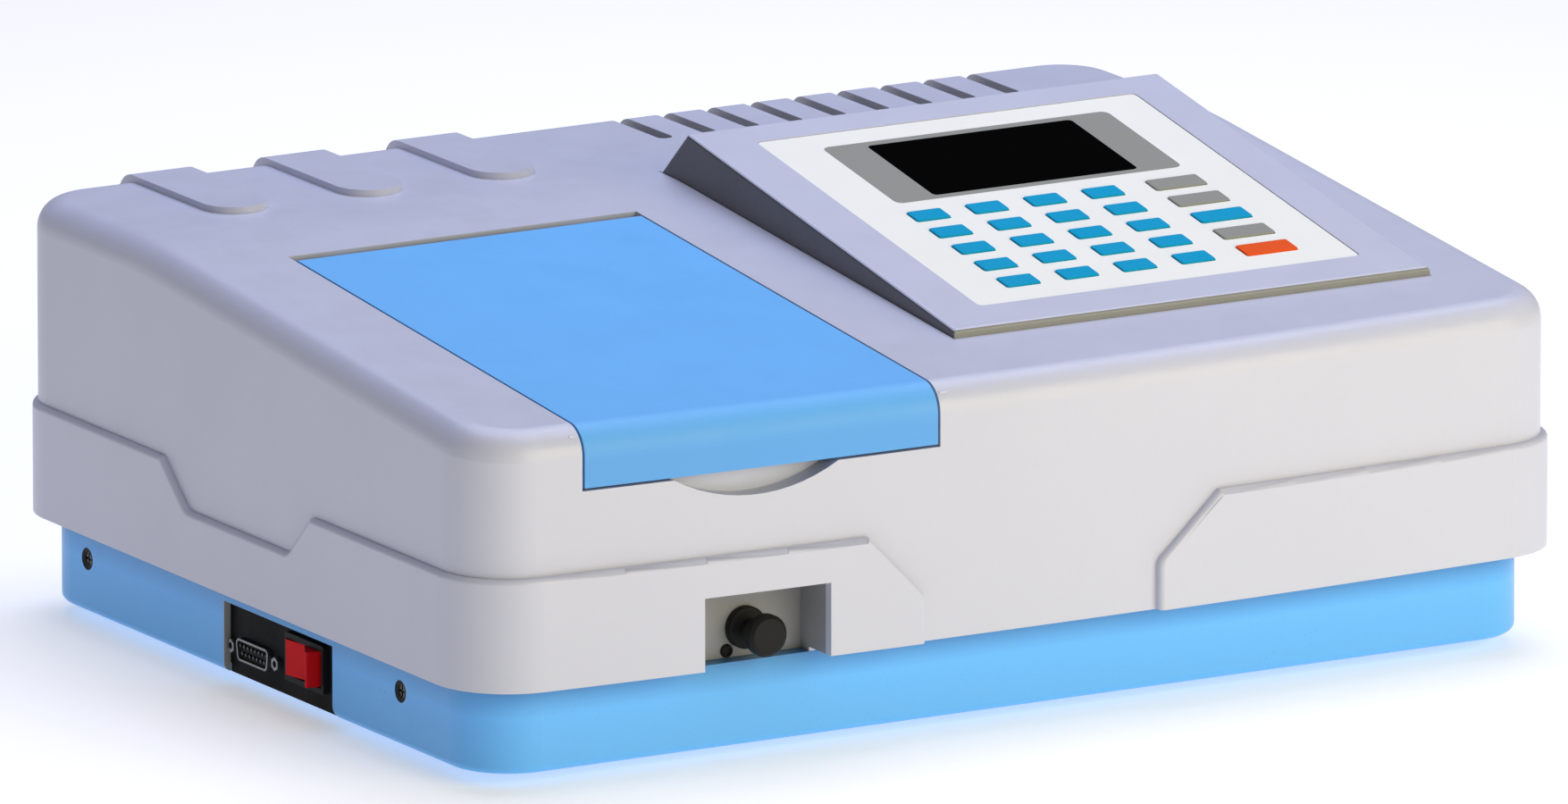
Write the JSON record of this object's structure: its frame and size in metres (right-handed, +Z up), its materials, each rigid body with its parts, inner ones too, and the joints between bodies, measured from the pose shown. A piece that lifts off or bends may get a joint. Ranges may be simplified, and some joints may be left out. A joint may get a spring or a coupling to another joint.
{
  "type": "spectrophotometer",
  "caption": "Bench spectrophotometer with a sloped case, hinged sample lid, pull-rod cell carriage, wedge keypad console with a display, rocker switch and side connector.",
  "frame": {"origin": "centre of the footprint, on the bench under the feet", "axes": "+X to the user's right, +Y to the back, +Z up"},
  "size_m": [0.47, 0.3637, 0.1764],
  "materials": {
    "cover_plastic": "moulded plastic, satin gloss, warm white",
    "base_blue": "moulded plastic, satin gloss, sky blue",
    "lid_blue": "moulded plastic, satin, light blue",
    "overlay_white": "printed polyester sheet, fine matt grain",
    "key_blue": "silicone-coated key, satin",
    "key_grey": "silicone-coated key, satin",
    "key_orange": "silicone-coated key, satin",
    "display_black": "polished acrylic window",
    "knob_black": "satin black plastic",
    "dark_plastic": "matt black plastic",
    "chamber_black": "matt black, light absorbing",
    "carriage_black": "black anodised",
    "foot_rubber": "matt black rubber",
    "screw_steel": "dark zinc plated",
    "pin_steel": "ground steel",
    "connector_metal": "tinned steel shell",
    "rocker_red": "glossy red plastic",
    "bench_metal": "machined cast aluminium",
    "black_metal": "black anodised",
    "motor_metal": "grey zinc plated sheet",
    "nut_brass": "machined brass",
    "lamp_glass": "clear quartz",
    "mirror_glass": "front-coated mirror",
    "board_green": "glass-epoxy board"
  },
  "bodies": {
    "case": {"upper_shell": "cover_plastic", "base_tray": "base_blue", "rubber_feet": "foot_rubber", "case_screws": "screw_steel", "lid_hinge_channel": "dark_plastic", "lid_hinge_pins": "pin_steel", "sample_chamber": "chamber_black", "rod_collar": "knob_black", "console_housing": "cover_plastic", "keypad_overlay": "overlay_white", "display_window": "display_black", "keypad_board": "board_green", "side_panel": "dark_plastic", "serial_connector": "connector_metal", "switch_bezel": "knob_black", "power_inlet": "dark_plastic", "optical_bench": "bench_metal", "monochromator_box": "black_metal", "stepper_motor": "motor_metal", "lamp_house": "black_metal", "lamps": "lamp_glass", "detector_module": "black_metal", "power_supply": "motor_metal", "main_board": "board_green", "fan_frame": "dark_plastic"},
    "lid": {"sample_lid": "lid_blue"},
    "carriage": {"cell_carriage": "carriage_black", "pull_rod": "pin_steel", "pull_knob": "knob_black"},
    "rocker": {"switch_rocker": "rocker_red"},
    "table": {"grating_table": "bench_metal"},
    "screw": {"lead_screw": "pin_steel"},
    "nut": {"drive_nut": "nut_brass"},
    "mirror": {"source_mirror": "mirror_glass"},
    "fan": {"fan_rotor": "dark_plastic"},
    "key_r1_c1": {"key_r1_c1": "key_blue"},
    "key_r1_c2": {"key_r1_c2": "key_blue"},
    "key_r1_c3": {"key_r1_c3": "key_blue"},
    "key_r1_c4": {"key_r1_c4": "key_blue"},
    "key_r1_c5": {"key_r1_c5": "key_grey"},
    "key_r2_c1": {"key_r2_c1": "key_blue"},
    "key_r2_c2": {"key_r2_c2": "key_blue"},
    "key_r2_c3": {"key_r2_c3": "key_blue"},
    "key_r2_c4": {"key_r2_c4": "key_blue"},
    "key_r2_c5": {"key_r2_c5": "key_grey"},
    "key_r3_c1": {"key_r3_c1": "key_blue"},
    "key_r3_c2": {"key_r3_c2": "key_blue"},
    "key_r3_c3": {"key_r3_c3": "key_blue"},
    "key_r3_c4": {"key_r3_c4": "key_blue"},
    "key_r3_c5": {"key_r3_c5": "key_blue"},
    "key_r4_c1": {"key_r4_c1": "key_blue"},
    "key_r4_c2": {"key_r4_c2": "key_blue"},
    "key_r4_c3": {"key_r4_c3": "key_blue"},
    "key_r4_c4": {"key_r4_c4": "key_blue"},
    "key_r4_c5": {"key_r4_c5": "key_grey"},
    "key_r5_c1": {"key_r5_c1": "key_blue"},
    "key_r5_c2": {"key_r5_c2": "key_blue"},
    "key_r5_c3": {"key_r5_c3": "key_blue"},
    "key_r5_c4": {"key_r5_c4": "key_blue"},
    "key_r5_c5": {"key_r5_c5": "key_orange"}
  },
  "joints": [
    {"name": "lid_hinge", "type": "hinge", "parent": "case", "child": "lid", "pos_m": [-0.11475, 0.0384, 0.1476], "axis": [-1, 0, 0], "range_deg": [0, 80]},
    {"name": "carriage_slide", "type": "slide", "parent": "case", "child": "carriage", "axis": [0, -1, 0], "range_m": [0, 0.054]},
    {"name": "rocker_hinge", "type": "hinge", "parent": "case", "child": "rocker", "pos_m": [-0.2201, -0.0292, 0.0206], "axis": [0, 0, 1], "range_deg": [0, 20]},
    {"name": "screw_turn", "type": "hinge", "parent": "case", "child": "screw", "pos_m": [0.118, -0.0465, 0.046], "axis": [0, 1, 0], "range_deg": [-1800, 1800]},
    {"name": "nut_slide", "type": "slide", "parent": "case", "child": "nut", "axis": [0, 1, 0], "range_m": [-0.01, 0.01]},
    {"name": "table_turn", "type": "hinge", "parent": "case", "child": "table", "pos_m": [0.052, -0.038, 0.06], "axis": [0, 0, 1], "range_deg": [-10.2, 10.2]},
    {"name": "mirror_turn", "type": "hinge", "parent": "case", "child": "mirror", "pos_m": [0.1, 0.084, 0.06], "axis": [0, 0, 1], "range_deg": [0, 45]},
    {"name": "fan_spin", "type": "hinge", "parent": "case", "child": "fan", "pos_m": [0.118, 0.165, 0.092], "axis": [0, 1, 0], "continuous": true},
    {"name": "press_r1_c1", "type": "slide", "parent": "case", "child": "key_r1_c1", "axis": [0, 0.175, -0.9846], "range_m": [0, 0.0005], "stiffness_N_per_m": 800, "springref_m": -0.0005},
    {"name": "press_r1_c2", "type": "slide", "parent": "case", "child": "key_r1_c2", "axis": [0, 0.175, -0.9846], "range_m": [0, 0.0005], "stiffness_N_per_m": 800, "springref_m": -0.0005},
    {"name": "press_r1_c3", "type": "slide", "parent": "case", "child": "key_r1_c3", "axis": [0, 0.175, -0.9846], "range_m": [0, 0.0005], "stiffness_N_per_m": 800, "springref_m": -0.0005},
    {"name": "press_r1_c4", "type": "slide", "parent": "case", "child": "key_r1_c4", "axis": [0, 0.175, -0.9846], "range_m": [0, 0.0005], "stiffness_N_per_m": 800, "springref_m": -0.0005},
    {"name": "press_r1_c5", "type": "slide", "parent": "case", "child": "key_r1_c5", "axis": [0, 0.175, -0.9846], "range_m": [0, 0.0005], "stiffness_N_per_m": 800, "springref_m": -0.0005},
    {"name": "press_r2_c1", "type": "slide", "parent": "case", "child": "key_r2_c1", "axis": [0, 0.175, -0.9846], "range_m": [0, 0.0005], "stiffness_N_per_m": 800, "springref_m": -0.0005},
    {"name": "press_r2_c2", "type": "slide", "parent": "case", "child": "key_r2_c2", "axis": [0, 0.175, -0.9846], "range_m": [0, 0.0005], "stiffness_N_per_m": 800, "springref_m": -0.0005},
    {"name": "press_r2_c3", "type": "slide", "parent": "case", "child": "key_r2_c3", "axis": [0, 0.175, -0.9846], "range_m": [0, 0.0005], "stiffness_N_per_m": 800, "springref_m": -0.0005},
    {"name": "press_r2_c4", "type": "slide", "parent": "case", "child": "key_r2_c4", "axis": [0, 0.175, -0.9846], "range_m": [0, 0.0005], "stiffness_N_per_m": 800, "springref_m": -0.0005},
    {"name": "press_r2_c5", "type": "slide", "parent": "case", "child": "key_r2_c5", "axis": [0, 0.175, -0.9846], "range_m": [0, 0.0005], "stiffness_N_per_m": 800, "springref_m": -0.0005},
    {"name": "press_r3_c1", "type": "slide", "parent": "case", "child": "key_r3_c1", "axis": [0, 0.175, -0.9846], "range_m": [0, 0.0005], "stiffness_N_per_m": 800, "springref_m": -0.0005},
    {"name": "press_r3_c2", "type": "slide", "parent": "case", "child": "key_r3_c2", "axis": [0, 0.175, -0.9846], "range_m": [0, 0.0005], "stiffness_N_per_m": 800, "springref_m": -0.0005},
    {"name": "press_r3_c3", "type": "slide", "parent": "case", "child": "key_r3_c3", "axis": [0, 0.175, -0.9846], "range_m": [0, 0.0005], "stiffness_N_per_m": 800, "springref_m": -0.0005},
    {"name": "press_r3_c4", "type": "slide", "parent": "case", "child": "key_r3_c4", "axis": [0, 0.175, -0.9846], "range_m": [0, 0.0005], "stiffness_N_per_m": 800, "springref_m": -0.0005},
    {"name": "press_r3_c5", "type": "slide", "parent": "case", "child": "key_r3_c5", "axis": [0, 0.175, -0.9846], "range_m": [0, 0.0005], "stiffness_N_per_m": 800, "springref_m": -0.0005},
    {"name": "press_r4_c1", "type": "slide", "parent": "case", "child": "key_r4_c1", "axis": [0, 0.175, -0.9846], "range_m": [0, 0.0005], "stiffness_N_per_m": 800, "springref_m": -0.0005},
    {"name": "press_r4_c2", "type": "slide", "parent": "case", "child": "key_r4_c2", "axis": [0, 0.175, -0.9846], "range_m": [0, 0.0005], "stiffness_N_per_m": 800, "springref_m": -0.0005},
    {"name": "press_r4_c3", "type": "slide", "parent": "case", "child": "key_r4_c3", "axis": [0, 0.175, -0.9846], "range_m": [0, 0.0005], "stiffness_N_per_m": 800, "springref_m": -0.0005},
    {"name": "press_r4_c4", "type": "slide", "parent": "case", "child": "key_r4_c4", "axis": [0, 0.175, -0.9846], "range_m": [0, 0.0005], "stiffness_N_per_m": 800, "springref_m": -0.0005},
    {"name": "press_r4_c5", "type": "slide", "parent": "case", "child": "key_r4_c5", "axis": [0, 0.175, -0.9846], "range_m": [0, 0.0005], "stiffness_N_per_m": 800, "springref_m": -0.0005},
    {"name": "press_r5_c1", "type": "slide", "parent": "case", "child": "key_r5_c1", "axis": [0, 0.175, -0.9846], "range_m": [0, 0.0005], "stiffness_N_per_m": 800, "springref_m": -0.0005},
    {"name": "press_r5_c2", "type": "slide", "parent": "case", "child": "key_r5_c2", "axis": [0, 0.175, -0.9846], "range_m": [0, 0.0005], "stiffness_N_per_m": 800, "springref_m": -0.0005},
    {"name": "press_r5_c3", "type": "slide", "parent": "case", "child": "key_r5_c3", "axis": [0, 0.175, -0.9846], "range_m": [0, 0.0005], "stiffness_N_per_m": 800, "springref_m": -0.0005},
    {"name": "press_r5_c4", "type": "slide", "parent": "case", "child": "key_r5_c4", "axis": [0, 0.175, -0.9846], "range_m": [0, 0.0005], "stiffness_N_per_m": 800, "springref_m": -0.0005},
    {"name": "press_r5_c5", "type": "slide", "parent": "case", "child": "key_r5_c5", "axis": [0, 0.175, -0.9846], "range_m": [0, 0.0005], "stiffness_N_per_m": 800, "springref_m": -0.0005}
  ],
  "couplings": [
    {"joint": "screw_turn", "follows": "nut_slide", "rad_per_m": 3141.6},
    {"joint": "table_turn", "follows": "nut_slide", "rad_per_m": 17.544}
  ]
}
